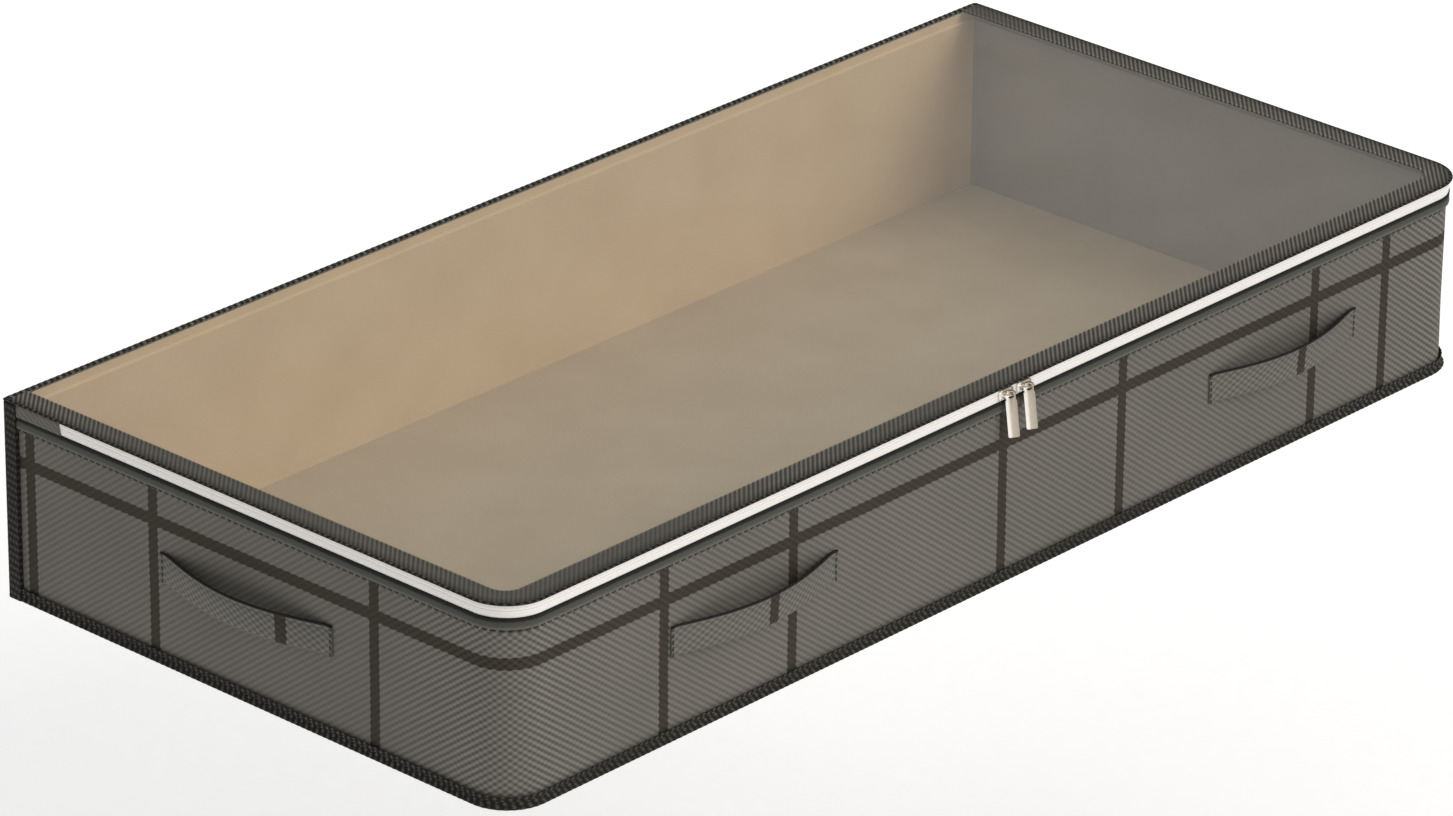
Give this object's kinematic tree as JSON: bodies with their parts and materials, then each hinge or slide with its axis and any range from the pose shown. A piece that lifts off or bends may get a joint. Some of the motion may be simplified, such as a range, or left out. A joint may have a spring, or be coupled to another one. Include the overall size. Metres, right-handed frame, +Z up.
{
  "type": "under bed box",
  "caption": "Low rectangular fabric storage box with a zipped, hinged clear-window lid, two zip sliders and loop handles on the front and ends.",
  "frame": {"origin": "on the floor, at the middle of the base", "axes": "+X along the long side, to the right seen from the front; -Y is the front with the zip sliders and two handles; +Y is the hinge side; +Z up"},
  "size_m": [1.0212, 0.4906, 0.15],
  "materials": {
    "body_fabric": "matt non-woven with a printed mesh and dark check lines",
    "lining_fabric": "matt thin non-woven",
    "binding_tape": "ribbed woven tape",
    "card": "plain grey-brown card",
    "zip_tape": "white woven tape",
    "zip_coil": "white nylon coil",
    "slider_metal": "satin nickel plate",
    "clear_film": "clear soft film"
  },
  "bodies": {
    "box": {"bottom_panel": "body_fabric", "base_board": "card", "base_lining": "lining_fabric", "bottom_binding": "binding_tape", "wall_band": "body_fabric", "back_panel": "body_fabric", "front_board": "card", "back_board": "card", "left_board": "card", "right_board": "card", "wall_lining": "lining_fabric", "back_lining": "lining_fabric", "corner_binding_left": "binding_tape", "corner_binding_right": "binding_tape", "zip_hem": "body_fabric", "lower_zip_tape": "zip_tape", "lower_zip_coil": "zip_coil", "zip_stops": "slider_metal", "zip_end_tab_left": "body_fabric", "zip_end_tab_right": "body_fabric", "hinge_binding": "binding_tape", "front_handle_left": "body_fabric", "front_handle_right": "body_fabric", "end_handle_left": "body_fabric", "end_handle_right": "body_fabric"},
    "lid": {"lid_window": "clear_film", "lid_rim": "binding_tape", "lid_facing": "body_fabric", "lid_binding": "binding_tape", "upper_zip_tape": "zip_tape", "upper_zip_coil": "zip_coil"},
    "slider_left": {"slider_left": "slider_metal"},
    "slider_right": {"slider_right": "slider_metal"},
    "pull_left": {"pull_left": "slider_metal"},
    "pull_right": {"pull_right": "slider_metal"}
  },
  "joints": [
    {"name": "lid_hinge", "type": "hinge", "parent": "box", "child": "lid", "pos_m": [0, 0.24, 0.148], "axis": [-1, 0, 0], "range_deg": [0, 195]},
    {"name": "slider_left_slide", "type": "slide", "parent": "box", "child": "slider_left", "axis": [-1, 0, 0], "range_m": [0, 0.434]},
    {"name": "slider_right_slide", "type": "slide", "parent": "box", "child": "slider_right", "axis": [1, 0, 0], "range_m": [0, 0.434]},
    {"name": "pull_left_swing", "type": "hinge", "parent": "slider_left", "child": "pull_left", "pos_m": [-0.0124, -0.24225, 0.1439], "axis": [-1, 0, 0], "range_deg": [0, 120]},
    {"name": "pull_right_swing", "type": "hinge", "parent": "slider_right", "child": "pull_right", "pos_m": [0.0064, -0.24225, 0.1439], "axis": [-1, 0, 0], "range_deg": [0, 120]}
  ]
}
